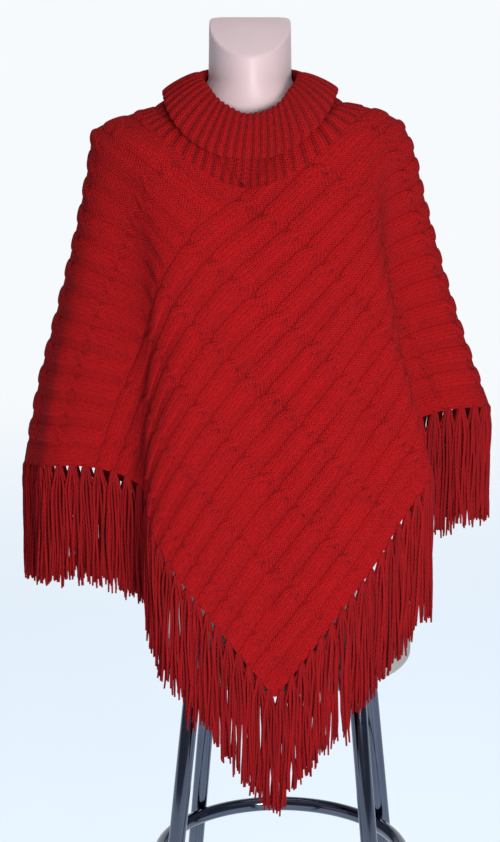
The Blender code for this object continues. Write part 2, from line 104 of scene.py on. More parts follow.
# Fringe
LOCK_PITCH = 0.0225
LOCK_LENGTH = 0.150
STRANDS = 14
STRAND_RADIUS = 0.00165
STRAND_SIDES = 5
STRAND_STEPS = 14
STRAND_LAYERS = 3
LAYER_STEP = 0.0028
LAYER_AT_ROOT = 0.25
LAYER_AT_KNOT = 0.55
ROOT_DEPTH = 0.0035
TIP_SHARE = 0.72
THINNEST, THICKER = 0.94, 0.12
FALL_POWER = 1.7
WAVER = 0.0013
# How much chance adds to each measure of a bundle and of its strands
BUNDLE_SPREAD = {"run": 0.0010, "drop": 0.004, "lean": 0.0025}
STRAND_SPREAD = {"lane": 0.012, "layer": 0.0004, "fall": 0.032, "curl": 0.0022}
# How far a bundle has fallen from the hem, and how wide it is there
BUNDLE_FALL = (0.000, 0.003, 0.009, 0.017, 0.027, 0.200)
BUNDLE_WIDE = (0.0060, 0.0100, 0.0110, 0.0160, 0.0215, 0.0215)
# Where the fringe is longer: the middle of that run of hem, its reach and how much
LONGER = {("a", "long"): (0.33, 0.14, 0.020)}

# Collar
RIB_COUNT = 56
RIB_RAISE = 0.0010
RIB_BAND = 0.084
RIB_BAND_EDGE = 0.005
RIB_POWER = 0.7
RIB_SWAYS = ((0.05, 5, 0), (0.04, 13, 1))
RIB_ON_PANEL = (0.15, 0.45)
# Painted shade of the collar's rib grooves: its least and its rise, and the least share of the
# ribs it keeps
RIB_SHADE_ON_COLLAR = (0.15, 0.75)
RIB_SHADE_LEAST = 0.25
COLLAR_TOP = {"side": 0.0625, "front": 0.070, "back": 0.072}
COLLAR_GAP = 0.0002
COLLAR_TOP_Z = {"side": 1.468, "front": 1.427, "back": 1.480}

# Stool and dress form
STOOL_X = 0.0433
STOOL_TURN = math.radians(-6.2)
SEAT_RADIUS = 0.172
SEAT_TOP = 0.750
SEAT_THICK = 0.036
LEG_RADIUS = 0.011
LEG_OFF_FOOT = 0.001
LEG_OFF_SEAT = 0.004
LEG_SPREAD_TOP = 0.149
LEG_SPREAD_FLOOR = 0.245
FOOT_RADIUS = 0.0145
FOOT_HEIGHT = 0.018
RING_HEIGHT = 0.423
RING_TUBE = 0.010
RING_GAP = 0.0003
SHARP_HARD = math.radians(40)
FORM_NECK_CUT = {"front_z": 1.503, "front_y": -0.050, "slope": 0.49}
FORM_POWER = 2.3

# The shared frame's origin in the measures used here
FRAME_X = 0.0064
FRAME_Y = 0.0014

# The photograph's camera
EYE_DISTANCE = 2.4
EYE_HEIGHT = 1.547
EYE_PITCH = math.radians(12.1)
LENS_MM = 80.0
SENSOR_MM = 36.0

# The poncho's rings from the neck (0) to the hem (1): half widths, depths and heights
RINGS = table(
    "ring right right_z left left_z front front_z back back_z",
    (0.00, 0.118, 1.449, 0.121, 1.443, 0.090, 1.349, 0.092, 1.362),
    (0.08, 0.156, 1.448, 0.162, 1.434, 0.106, 1.302, 0.106, 1.315),
    (0.16, 0.193, 1.438, 0.203, 1.417, 0.120, 1.253, 0.119, 1.266),
    (0.24, 0.209, 1.404, 0.209, 1.375, 0.130, 1.202, 0.130, 1.216),
    (0.40, 0.226, 1.331, 0.226, 1.291, 0.146, 1.102, 0.147, 1.116),
    (0.60, 0.251, 1.240, 0.253, 1.186, 0.166, 0.976, 0.168, 0.990),
    (0.80, 0.281, 1.148, 0.281, 1.083, 0.186, 0.850, 0.188, 0.864),
    (1.00, 0.315, 1.057, 0.302, 0.979, 0.205, 0.725, 0.209, 0.738),
)

# Hanging folds: the side, degrees round from the front, depth at the hem, half width in
# degrees and the ring that each starts at
FOLDS = table(
    "side angle depth half_width start",
    ("right", 60, 0.104, 14.5, 0.14),
    ("right", 126, 0.100, 14.5, 0.16),
    ("left", 46, 0.096, 13.5, 0.12),
    ("left", 122, 0.108, 14.5, 0.14),
    ("right", 30, 0.014, 7.0, 0.30),
    ("left", 156, 0.012, 7.0, 0.30),
    ("left", 78, 0.008, 7.0, 0.35),
)
FOLD_PULL = (0.90, 0.55)
FOLD_POWER = 0.8
FOLD_SOFT = 0.3
WING_TILT = {"right": 0.06, "left": 0.12}
CLIMB = {"right": {"front": 0.76, "back": 0.72}, "left": {"front": 0.70, "back": 0.74}}
CLIMB_BLEND = 0.05
CLIMB_MOST = 0.98
LEAN_NECK = -0.006
LEAN_HEM = 0.031
RING_SQUARE = 2.3
SQUARE_FROM = 0.3
RING_LEVELS = 180
RING_SAMPLES = 720

# Soft creases of the hanging cloth: the face they show on (front -1, back 1), their two
# ends across and up, how proud they are (less than 0 for a hollow) and how wide
CREASES = table(
    "face x0 z0 x1 z1 depth width",
    (-1, 0.130, 1.190, 0.152, 0.930, -0.0060, 0.016),
    (-1, 0.098, 1.110, 0.112, 0.900, 0.0035, 0.018),
    (-1, -0.100, 1.235, -0.128, 1.010, -0.0045, 0.014),
    (-1, -0.055, 1.190, -0.095, 0.960, 0.0030, 0.020),
    (-1, 0.020, 1.080, 0.045, 0.840, -0.0025, 0.026),
    (1, -0.130, 1.200, -0.150, 0.950, -0.0055, 0.016),
    (1, 0.090, 1.220, 0.120, 0.990, -0.0045, 0.015),
    (1, -0.020, 1.100, -0.040, 0.860, 0.0030, 0.024),
    (-1, -0.215, 1.170, -0.245, 1.010, -0.0030, 0.014),
    (1, 0.235, 1.200, 0.262, 1.080, -0.0030, 0.014),
)
CREASE_FADE = 0.35
CREASE_FACING = (0.15, 0.4)


def smooth_through(x, xs, ys):
    """A curve through the points (xs, ys) that never swings past them."""
    xs, ys = np.asarray(xs, float), np.asarray(ys, float)
    step = np.diff(xs)
    slope = np.diff(ys) / step
    bend = np.zeros(len(xs))
    bend[0], bend[-1] = slope[0], slope[-1]
    for i in range(1, len(xs) - 1):
        if slope[i - 1] * slope[i] > 0:
            before, after = 2 * step[i] + step[i - 1], step[i] + 2 * step[i - 1]
            bend[i] = (before + after) / (before / slope[i - 1] + after / slope[i])
    x = np.clip(x, xs[0], xs[-1])
    i = np.clip(np.searchsorted(xs, x) - 1, 0, len(step) - 1)
    t = (x - xs[i]) / step[i]
    return (
        ys[i] * (1 + 2 * t) * (1 - t) ** 2
        + bend[i] * step[i] * t * (1 - t) ** 2
        + ys[i + 1] * t * t * (3 - 2 * t)
        + bend[i + 1] * step[i] * t * t * (t - 1)
    )


def smooth_step(x):
    """0 below 0, 1 above 1 and a smooth rise between them."""
    x = np.clip(x, 0, 1)
    return x * x * (3 - 2 * x)


def ring_value(name, ring):
    """One measure of a ring, from the table of rings."""
    return smooth_through(ring, [row["ring"] for row in RINGS], [row[name] for row in RINGS])


def smooth_min(a, b, blend):
    """The lesser of a and b, rounded over where they are closer than the blend."""
    mix = np.clip(0.5 + 0.5 * (b - a) / blend, 0, 1)
    return b + (a - b) * mix - blend * mix * (1 - mix)


def ring_plan(side, ring):
    """The ring seen from above, on one side, from the front round to the back."""
    half_width = ring_value(side, ring)
    front, back = ring_value("front", ring), ring_value("back", ring)
    angle = np.linspace(0, math.pi, RING_SAMPLES + 1)
    power = 2 / (2 + (RING_SQUARE - 2) * min(1, ring / SQUARE_FROM))
    across, along = np.sin(angle).clip(0), np.cos(angle)
    x = half_width * across**power
    y = -np.where(along > 0, front, back) * np.sign(along) * np.abs(along) ** power
    for fold in FOLDS:
        if fold["side"] != side or ring <= fold["start"]:
            continue
        grown = (ring - fold["start"]) / (1 - fold["start"])
        grown = grown**FOLD_POWER * (1 - 0.5 * max(0, 1 - grown / FOLD_SOFT) ** 2)
        hollow = np.exp(-(((np.degrees(angle) - fold["angle"]) / fold["half_width"]) ** 2))
        turn = math.radians(fold["angle"])
        x = x - FOLD_PULL[0] * math.sin(turn) * fold["depth"] * grown * hollow
        y = y + FOLD_PULL[1] * math.cos(turn) * fold["depth"] * grown * hollow
    depth = np.where(y < 0, front, back)
    x = x if side == "right" else -x
    return x - (LEAN_NECK + (LEAN_HEM - LEAN_NECK) * ring) * y / depth, y


def ring_points(side, ring):
    """The ring's points at even steps of the cloth along it."""
    cloth = np.linspace(0, 2 * ring * PANEL_WIDTH + NECK_RUN, RING_SAMPLES + 1)
    blend = CLIMB_BLEND + CLIMB_BLEND * ring
    climb = CLIMB[side]
    tilt = WING_TILT[side] * ring**3 * (cloth[-1] / 2 - cloth)
    z = smooth_min(
        ring_value("front_z", ring) + climb["front"] * cloth,
        ring_value(side + "_z", ring) + tilt,
        blend,
    )
    z = smooth_min(z, ring_value("back_z", ring) + climb["back"] * (cloth[-1] - cloth), blend)
    level = np.sqrt(1 - np.clip(np.abs(np.gradient(z, cloth)), 0, CLIMB_MOST) ** 2)
    level_run = np.cumsum([0, *((level[1:] + level[:-1]) / 2 * np.diff(cloth))])
    x, y = ring_plan(side, ring)
    run = np.cumsum([0, *np.hypot(np.diff(x), np.diff(y))])
    place = level_run / level_run[-1] * run[-1]
    return np.stack([np.interp(place, run, x), np.interp(place, run, y), z], axis=1)


DRAPE = {
    side: np.array([ring_points(side, level / RING_LEVELS) for level in range(RING_LEVELS + 1)])
    for side in ("right", "left")
}


def drape_points(drape, hem, ring):
    """The cloth's outside at many places: hem metres round from the front, on a ring."""
    run = ring * np.minimum(hem, PANEL_WIDTH)
    run = run + np.clip(hem - PANEL_WIDTH, 0, NECK_RUN)
    run = run + ring * np.maximum(hem - PANEL_LENGTH, 0)
    share = run / (2 * ring * PANEL_WIDTH + NECK_RUN) * RING_SAMPLES
    level = ring * RING_LEVELS
    i = np.minimum(level.astype(int), RING_LEVELS - 1)
    j = np.minimum(share.astype(int), RING_SAMPLES - 1)
    a, b = (level - i)[:, None], (share - j)[:, None]
    lower = drape[i, j] * (1 - b) + drape[i, j + 1] * b
    upper = drape[i + 1, j] * (1 - b) + drape[i + 1, j + 1] * b
    return lower * (1 - a) + upper * a


def panel_points(panel, u, v):
    """Where the places (u, v) of panel a or b hang."""
    near, far = ("right", "left") if panel == "a" else ("left", "right")
    first = PANEL_WIDTH if panel == "a" else PANEL_LENGTH
    turn = -1 if panel == "a" else 1
    short = PANEL_WIDTH - u
    ring = np.maximum(np.maximum(short, v), 1e-9) / PANEL_WIDTH
    straight = u >= PANEL_WIDTH
    ring = np.where(straight, np.minimum(v / PANEL_WIDTH, 1), np.minimum(ring, 1))
    long_hem = u if panel == "a" else PANEL_WIDTH + PANEL_LENGTH - u
    hem_near = np.where(straight, long_hem, first + turn * short / np.maximum(ring, 1e-9))
    hem_far = first + turn * v / np.maximum(ring, 1e-9)
    on_near = straight | (v >= short)
    points = np.empty((len(u), 3))
    points[on_near] = drape_points(DRAPE[near], hem_near[on_near], ring[on_near])
    points[~on_near] = drape_points(DRAPE[far], hem_far[~on_near], ring[~on_near])
    return points


def grid(*sides):
    """The places of a grid over these sides, one flat array for each."""
    return (side.ravel() for side in np.meshgrid(*sides, indexing="ij"))


def unit(vectors):
    """The vectors at a length of 1."""
    return vectors / np.maximum(np.linalg.norm(vectors, axis=-1, keepdims=True), 1e-12)


def panel_normals(panel, u, v):
    """The outward directions of the hanging cloth at many places."""
    u0, u1 = np.maximum(u - NORMAL_STEP, 0), np.minimum(u + NORMAL_STEP, PANEL_LENGTH)
    v0, v1 = np.maximum(v - NORMAL_STEP, 0), np.minimum(v + NORMAL_STEP, PANEL_WIDTH)
    along = panel_points(panel, u1, v) - panel_points(panel, u0, v)
    across = panel_points(panel, u, v1) - panel_points(panel, u, v0)
    return unit(np.cross(across, along))


def crease_depth(points, normals):
    """How far the soft creases push the cloth out, or in where it is less than 0."""
    moved = np.zeros(len(points))
    for crease in CREASES:
        start = np.array([crease["x0"], crease["z0"]])
        run = np.array([crease["x1"], crease["z1"]]) - start
        here = points[:, [0, 2]] - start
        share = np.clip(here @ run / (run @ run), 0, 1)
        gap = np.linalg.norm(here - share[:, None] * run, axis=1)
        fade = smooth_step(share / CREASE_FADE) * smooth_step((1 - share) / CREASE_FADE)
        facing = normals[:, 1] * crease["face"] - CREASE_FACING[0]
        facing = smooth_step(facing / CREASE_FACING[1])
        moved += crease["depth"] * fade * facing * np.exp(-((gap / crease["width"]) ** 2))
    return moved


def cloth_points(panel, u, v, thickness):
    """Points of the knit, as far out from its plain inner face as the thickness."""
    points, normals = panel_points(panel, u, v), panel_normals(panel, u, v)
    out = thickness - WALL_MOST + crease_depth(points, normals)
    return points + normals * out[:, None]


OTHER = {"a": "b", "b": "a"}


def seam_points(panel, u, thickness, lies_in):
    """Points of the seam along this panel's side, a half gap inside it or outside."""
    ends = np.full(len(u), PANEL_LENGTH)
    normals = panel_normals(OTHER[panel], ends, PANEL_WIDTH - u)
    normals = unit(panel_normals(panel, u, 0 * u) + normals)
    edge = panel_points(panel, u, 0 * u)
    inward = panel_points(panel, u, 0 * u + EDGE_STEP) - edge
    inward -= normals * (inward * normals).sum(axis=1)[:, None]
    out = thickness - WALL_MOST + crease_depth(edge, normals)
    return edge + normals * out[:, None] + unit(inward) * lies_in * SEAM_GAP / 2


def cable_strands(u, v):
    """The place across a cable (-1 to 1), from a crossing, and its strands' heights."""
    cell = v / CABLE_PITCH
    local = (cell - np.floor(cell) - DITCH_SHARE / 2) / (1 - DITCH_SHARE)
    x = 2 * local - 1
    phase = u / CABLE_TWIST
    phase = phase - np.floor(phase) - 0.5
    swap = smooth_step(phase / (2 * CROSS_HALF) + 0.5)
    lift = np.exp(-((phase / LIFT_HALF) ** 2))

    def roll(middle):
        return np.sqrt(np.clip(1 - ((x - middle) / ROLL_HALF) ** 2, 0, 1))

    over = roll(swap - 0.5) * (ROLL_HEIGHT + OVER_RISE * lift)
    under = roll(0.5 - swap) * (ROLL_HEIGHT - UNDER_DIP * lift)
    return x, phase, over, under


def cable_height(u, v):
    """How proud the knit stands at (u, v): 0 in a ditch, 1 on a cable, more at a crossing."""
    x, phase, over, under = cable_strands(u, v)
    near_cross = np.exp(-((phase / ROLLS_HALF) ** 2))
    puffed = np.clip(1 - np.abs(x) ** PUFF_SQUARE, 0, 1) ** PUFF_POWER
    height = puffed * (1 - near_cross) + np.maximum(over, under) * near_cross
    return np.where(v > CABLES_WIDE, BORDER_HEIGHT, height)


def cable_shade(u, v):
    """How light the knit is painted at (u, v): painted shade, darkest where one strand dives
    under the other and darker in a ditch.
    """
    x, phase, over, under = cable_strands(u, v)
    near_cross = np.exp(-((phase / DIVE_HALF) ** 2)) * (np.abs(x) < 1)
    dive = np.exp(-(((over - under) / DIVE_SHARP) ** 2)) * near_cross
    ditch = smooth_step((np.abs(x) - DITCH_FROM) / DITCH_OVER) * (v < CABLES_WIDE)
    return LIGHT_CABLE - DIVE_PAINTED_SHADOW * dive - DITCH_PAINTED_SHADE * ditch


def rib_place(points):
    """Turns round the neck, and how far below the collar's fold a point lies."""
    turn = neck_turn(points)
    below = np.linalg.norm(points - collar_line(turn), axis=1)
    return np.interp(turn, *NECK_TURNS, period=1.0), below


def neck_turn(points):
    """The share of a turn round the neck, from the front over the right, of points."""
    across = points[:, 0] / COLLAR_TOP["side"]
    depth = np.where(points[:, 1] < 0, COLLAR_TOP["front"], COLLAR_TOP["back"])
    return np.arctan2(across, -points[:, 1] / depth) / TURN % 1.0


def rib_height(around):
    """The ribs round the neck: 1 on a rib and 0 in the groove beside it."""
    sway = sum(
        most * np.sin(TURN * around * times + start) for most, times, start in RIB_SWAYS
    )
    wave = np.cos(TURN * (around * RIB_COUNT + sway))
    return 0.5 + 0.5 * np.sign(wave) * np.abs(wave) ** RIB_POWER


def in_rib_band(below):
    """Whether a place this far below the collar's fold is ribbed (1) or cabled (0)."""
    return smooth_step((RIB_BAND - below) / RIB_BAND_EDGE + 0.5)


def knit_grid(panel):
    """One panel's fine outer points, the plain inner ones behind them and its painted shade."""
    cables = np.linspace(0, CABLES_WIDE, CABLE_COUNT * SAMPLES_ACROSS + 1)
    border = np.linspace(CABLES_WIDE, PANEL_WIDTH, SAMPLES_IN_BORDER)[1:]
    vs = np.concatenate([cables, border])
    every = INSIDE_EVERY[0]
    us = np.linspace(0, PANEL_LENGTH, every * round(PANEL_LENGTH / SAMPLE_ALONG / every) + 1)
    u, v = grid(us, vs)
    around, below = rib_place(panel_points(panel, u, v))
    ribbed = in_rib_band(below)
    low, rise = RIB_ON_PANEL
    height = cable_height(u, v) * (1 - ribbed) + (low + rise * rib_height(around)) * ribbed
    edge = np.minimum.reduce([u, PANEL_LENGTH - u, v, PANEL_WIDTH - v])
    thick = WALL_DITCH + (WALL_CABLE - WALL_DITCH) * height
    thick = WALL_EDGE + (thick - WALL_EDGE) * smooth_step(edge / EDGE_SLOPE)
    points = cloth_points(panel, u, v, thick)
    plain = cloth_points(panel, u, v, 0 * thick)
    sewn_end = u >= PANEL_LENGTH
    sewn_side = (v <= 0) & (u <= PANEL_WIDTH)
    for rows, owner, along, lies_in in (
        (sewn_end, OTHER[panel], PANEL_WIDTH - v[sewn_end], -1),
        (sewn_side, panel, u[sewn_side], 1),
    ):
        points[rows] = seam_points(owner, along, thick[rows], lies_in)
        plain[rows] = seam_points(owner, along, 0 * thick[rows], lies_in)
    # Painted shade: darker where strands dive, in the ditches and in the rib grooves
    shade = cable_shade(u, v) * (1 - ribbed) + rib_height(around) * ribbed
    return us, vs, points, plain, shade


def stitch_places(panel, us, vs):
    """Wale and row of each corner of each face of the outer grid, and its purl share.

    A face takes its kind of knit from its middle, so that no face runs from one kind
    of knit into another.
    """
    um, vm = grid((us[1:] + us[:-1]) / 2, (vs[1:] + vs[:-1]) / 2)
    x_mid, _, over, under = cable_strands(um, vm)
    is_over, is_purl = over >= under, np.abs(x_mid) > 1
    cable = np.floor(vm / CABLE_PITCH)
    cross = np.floor(um / CABLE_TWIST)
    is_border = vm > CABLES_WIDE
    mid_around, mid_below = rib_place(panel_points(panel, um, vm))
    is_rib = mid_below < RIB_BAND
    i, j = grid(range(len(us) - 1), range(len(vs) - 1))
    places = np.empty((len(um), 4, 2))
    for corner, (di, dj) in enumerate(((0, 0), (0, 1), (1, 1), (1, 0))):
        u, v = us[i + di], vs[j + dj]
        x = 2 * (v / CABLE_PITCH - cable - DITCH_SHARE / 2) / (1 - DITCH_SHARE) - 1
        phase = u / CABLE_TWIST - cross - 0.5
        swap = smooth_step(phase / (2 * CROSS_HALF) + 0.5)
        wale = (x + np.where(is_over, -swap, swap)) * WALES_IN_CABLE / 2
        wale = np.where(is_border, (v - CABLES_WIDE) / BORDER_WALE, wale)
        around, below = rib_place(panel_points(panel, u, v))
        around = mid_around + (around - mid_around + 0.5) % 1.0 - 0.5
        places[:, corner, 0] = np.where(is_rib, around * RIB_COUNT * 2, wale)
        places[:, corner, 1] = np.where(is_rib, below / RIB_ROW, u / STITCH_ROW)
    purl = np.where(is_purl & ~is_rib & ~is_border, 1.0, 0.0)
    return places.reshape(-1, 2), purl


def shell_faces(rows, wide):
    """Faces of a fine outer grid, a coarse inner one and the rim between them.

    The outer points that have an inner one behind them come second.
    """
    i, j = grid(range(rows - 1), range(wide - 1))
    a = i * wide + j
    faces = np.stack([a, a + 1, a + wide + 1, a + wide], axis=1).tolist()
    kept_u = list(range(0, rows - 1, INSIDE_EVERY[0])) + [rows - 1]
    kept_v = list(range(0, wide - 1, INSIDE_EVERY[1])) + [wide - 1]
    first = rows * wide

    def inside(p, q):
        return first + p * len(kept_v) + q

    for p in range(len(kept_u) - 1):
        for q in range(len(kept_v) - 1):
            loop = inside(p, q + 1), inside(p, q), inside(p + 1, q), inside(p + 1, q + 1)
            faces.append(loop)
    for q in range(len(kept_v) - 1):
        top = list(range(kept_v[q], kept_v[q + 1] + 1))
        faces.append((inside(0, q), inside(0, q + 1), *top[::-1]))
        top = [(rows - 1) * wide + k for k in top]
        faces.append((inside(len(kept_u) - 1, q + 1), inside(len(kept_u) - 1, q), *top))
    for p in range(len(kept_u) - 1):
        for q, j in ((0, 0), (len(kept_v) - 1, wide - 1)):
            top = [k * wide + j for k in range(kept_u[p], kept_u[p + 1] + 1)]
            loop = (inside(p + 1, q), inside(p, q), *top)
            faces.append(loop if q == 0 else loop[::-1])
    keep = [r * wide + c for r in kept_u for c in kept_v]
    return faces, keep


def add_object(name, data):
    made = bpy.data.objects.new(name, data)
    bpy.context.collection.objects.link(made)
    return made


def stand_in(made, node):
    """Puts a piece in the place of one node of the part."""
    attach(made, "root")
    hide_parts(node)
    return made


def new_piece(name, points, faces, finish, layers=None, values=None):
    """A smooth-shaded piece with its UV layers and named values.

    A layer has a place for each point, or for each corner of the first faces. Values
    are for each point too, or for each of the first faces.
    """
    mesh = bpy.data.meshes.new(name)
    mesh.from_pydata((points - np.array([FRAME_X, FRAME_Y, 0.0])).tolist(), [], faces)
    mesh.materials.append(finish)
    mesh.shade_smooth()
    corner = np.empty(len(mesh.loops), int)
    mesh.loops.foreach_get("vertex_index", corner)
    for layer, places in (layers or {}).items():
        made = mesh.uv_layers.new(name=layer)
        places = np.asarray(places, np.float32)
        if len(places) == len(points):
            spread = places[corner]
        else:
            spread = np.zeros((len(corner), 2), np.float32)
            spread[: len(places)] = places
        made.data.foreach_set("uv", spread.ravel())
    for attribute, amounts in (values or {}).items():
        kind = "POINT" if len(amounts) == len(points) else "FACE"
        made = mesh.attributes.new(attribute, "FLOAT", kind)
        spread = np.zeros(len(made.data), np.float32)
        spread[: len(amounts)] = amounts
        made.data.foreach_set("value", spread)
    mesh.update()
    return add_object(name, mesh)


class Value:
    """A shader socket that takes Python's operators."""

    def __init__(self, finish, socket):
        self.finish, self.socket = finish, socket

    def maths(self, kind, *others):
        sockets = {i: other for i, other in enumerate((self, *others))}
        return self.finish.node("ShaderNodeMath", {"operation": kind}, sockets)

    def __add__(self, other):
        return self.maths("ADD", other)

    def __mul__(self, other):
        return self.maths("MULTIPLY", other)

    def __sub__(self, other):
        return self.maths("SUBTRACT", other)

    def __rsub__(self, other):
        return (self * -1.0) + other

    def __pow__(self, other):
        return self.maths("POWER", other)

    def wave(self):
        """From 1 to -1 and back over every whole step."""
        return (self * TURN).maths("COSINE")

    def held(self):
        """Kept from 0 to 1."""
        return self.maths("MINIMUM", 1.0).maths("MAXIMUM", 0.0)


class Nodes:
    """The nodes of one tree, each made and fed in one call."""

    def __init__(self, tree):
        self.tree = tree

    def node(self, kind, settings=None, sockets=None, out=0):
        made = self.tree.nodes.new(kind)
        for setting, amount in (settings or {}).items():
            setattr(made, setting, amount)
        for socket, amount in (sockets or {}).items():
            self.feed(made.inputs[socket], amount)
        return Value(self, made.outputs[out])

    def feed(self, socket, amount):
        if isinstance(amount, Value):
            self.tree.links.new(amount.socket, socket)
        else:
            socket.default_value = amount

    def part(self, vector, axis):
        return self.node("ShaderNodeSeparateXYZ", None, {0: vector}, axis)

    def blend(self, share, low, high):
        """A colour between two, by a share from 0 to 1."""
        sockets = {0: share, 6: low, 7: high}
        return self.node("ShaderNodeMix", {"data_type": "RGBA"}, sockets, out=2)


class Finish(Nodes):
    """A material under the name of what it covers, built from its nodes."""

    def __init__(self, name, **constants):
        self.material = bpy.data.materials.new(name)
        self.material.use_nodes = True
        super().__init__(self.material.node_tree)
        self.shader = self.tree.nodes["Principled BSDF"]
        for socket, amount in constants.items():
            self.shader.inputs[socket.replace("_", " ")].default_value = amount

    def uv(self, layer):
        """The two coordinates of one of the piece's own UV layers."""
        place = self.node("ShaderNodeUVMap", {"uv_map": layer})
        return self.part(place, 0), self.part(place, 1)

    def attribute(self, name):
        return self.node("ShaderNodeAttribute", {"attribute_name": name}, None, 2)

    def place(self):
        """The place on the piece in the shared frame."""
        return self.node("ShaderNodeTexCoord", None, None, 3)

    def noise(self, scale, detail=2.0, roughness=0.5):
        sockets = {"Scale": scale, "Detail": detail, "Roughness": roughness}
        return self.node("ShaderNodeTexNoise", None, {"Vector": self.place(), **sockets})

    def bump(self, height, distance, strength=1.0, under=None):
        sockets = {"Height": height, "Distance": distance, "Strength": strength}
        if under is not None:
            sockets["Normal"] = under
        return self.node("ShaderNodeBump", None, sockets)

    def show(self, **links):
        for socket, amount in links.items():
            self.feed(self.shader.inputs[socket.replace("_", " ")], amount)
        return self.material


# Each finish's darkest and lightest colour
RED_SHADE, RED_WOOL = (0.132, 0.0062, 0.0078, 1), (0.485, 0.0072, 0.0088, 1)
YARN_SHADE, YARN_WOOL = (0.120, 0.0060, 0.0078, 1), (0.460, 0.0090, 0.0112, 1)
FORM_COLOURS = (0.640, 0.470, 0.480, 1), (0.700, 0.560, 0.560, 1)
CHROME_COLOURS = (0.075, 0.090, 0.130, 1), (0.140, 0.150, 0.190, 1)
SEAT_COLOURS = (0.30, 0.27, 0.245, 1), (0.42, 0.385, 0.35, 1)
RUBBER_COLOURS = (0.012, 0.012, 0.012, 1), (0.05, 0.048, 0.046, 1)

# A stitch: how its legs lean and where they are proudest, and what its height is made of
STITCH = {"slant": 0.75, "middle": 0.9, "leg": 0.50, "loop": 0.26, "least": 0.25}
# The collar's rib knit is painted darker as a whole, as painted shade for its dark grooves and
# how it faces
RIB_PAINTED_SHADE = 0.84

# A strand's plies, and how many turns they make in a metre
PLIES = 2.0
PLY_TURNS = 170.0


def wool(name):
    """Matt wool, with only a trace of sheen."""
    sheen = {"Sheen_Weight": 0.02, "Sheen_Roughness": 0.5, "Sheen_Tint": (1.0, 0.45, 0.5, 1)}
    return Finish(name, Roughness=0.95, Specular_IOR_Level=0.04, **sheen)


def stitch_height(wale, row):
    """Knit stitches: two legs that meet in a V in each wale, one above the other."""
    across = (wale.maths("FRACT") * 2.0 - 1.0).maths("ABSOLUTE")
    leg = 1.0 - (across * 2.0 - STITCH["middle"]) ** 2.0
    climb = (row - across * STITCH["slant"]).wave()
    return leg * STITCH["leg"] + climb * STITCH["loop"] + STITCH["least"]


def knit_finish(name, purled):
    """Soft red wool: V stitches on the cables and ribs, short bars in purl ditches, with painted
    shade between stitches and bars, in ditches, rib grooves and where strands dive.
    """
    finish = wool(name)
    wale, row = finish.uv("stitch")
    # The height values are painted shade: darker in the ditches, where strands dive and in rib
    # grooves
    height = finish.attribute("height")
    relief = stitch_height(wale, row)
    if purled:
        purl = finish.attribute("purl")
        bars = row.wave() * wale.wave() * 0.45 + 0.55
        relief = relief * (1.0 - purl) + bars * purl
    fuzz = finish.noise(scale=900.0, detail=3.0, roughness=0.7)
    speck = finish.noise(scale=330.0, detail=2.0, roughness=0.6)
    patch = finish.noise(scale=24.0)
    # Painted shade: the stitch and bar relief lightens their tops and darkens the gaps; the
    # specks and patches are random tone
    tone = height * 0.50 + relief * 0.76 + speck * 0.90 + patch * 0.24 - 0.78
    # The rib knit is painted darker overall, as painted shade
    tone = tone.held() * (1.0 if purled else RIB_PAINTED_SHADE)
    stitches = finish.bump(relief, distance=0.0014, strength=0.9)
    normal = finish.bump(fuzz, distance=0.0008, strength=0.5, under=stitches)
    return finish.show(Base_Color=finish.blend(tone, RED_SHADE, RED_WOOL), Normal=normal)


def yarn_finish():
    """Plied yarn: its plies wind round each strand of the fringe, with painted shade between the
    plies.
    """
    finish = wool("red_yarn")
    around, along = finish.uv("strand")
    shade = finish.attribute("shade")
    plies = (around * PLIES + along * PLY_TURNS).wave() * 0.5 + 0.5
    fuzz = finish.noise(scale=1000.0, detail=3.0, roughness=0.7)
    # Painted shade between the plies, from the same winding as the bump; fuzz and each strand's
    # shade value are random tone
    tone = (plies * 0.16 + fuzz * 0.30 + shade * 0.26 + 0.02).held()
    winding = finish.bump(plies, distance=0.0005, strength=0.6)
    normal = finish.bump(fuzz, distance=0.0006, strength=0.5, under=winding)
    return finish.show(Base_Color=finish.blend(tone, YARN_SHADE, YARN_WOOL), Normal=normal)


def form_finish():
    """Satin beige-pink plastic with faint mottling."""
    finish = Finish("form_plastic", Specular_IOR_Level=0.35)
    cloud = finish.noise(scale=9.0, detail=3.0)
    grain = finish.noise(scale=420.0)
    colour = finish.blend((cloud * 1.6 - 0.3).held(), *FORM_COLOURS)
    normal = finish.bump(grain, distance=0.0002, strength=0.25)
    return finish.show(Base_Color=colour, Roughness=cloud * 0.12 + 0.38, Normal=normal)


def chrome_finish():
    """Polished chrome with faint smears and a fine grain."""
    finish = Finish("stool_chrome", Metallic=1.0)
    smear = finish.noise(scale=14.0, detail=3.0)
    line = finish.noise(scale=240.0)
    colour = finish.blend(smear, *CHROME_COLOURS)
    return finish.show(Base_Color=colour, Roughness=smear * 0.06 + line * 0.03 + 0.05)


def seat_finish():
    """Beige-grey vinyl with a pebbled grain."""
    finish = Finish("seat_vinyl")
    pebbles = {"Vector": finish.place(), "Scale": 520.0}
    pebble = finish.node("ShaderNodeTexVoronoi", {"feature": "SMOOTH_F1"}, pebbles)
    cloud = finish.noise(scale=18.0, detail=3.0)
    colour = finish.blend(cloud, *SEAT_COLOURS)
    normal = finish.bump(pebble, distance=0.0006, strength=0.35)
    return finish.show(Base_Color=colour, Roughness=cloud * 0.15 + 0.42, Normal=normal)


def rubber_finish():
    """Dull black rubber with a little dust."""
    finish = Finish("foot_rubber")
    dust = finish.noise(scale=160.0, detail=4.0)
    colour = finish.blend(dust, *RUBBER_COLOURS)
    normal = finish.bump(dust, distance=0.0004, strength=0.4)
    return finish.show(Base_Color=colour, Roughness=dust * 0.2 + 0.65, Normal=normal)


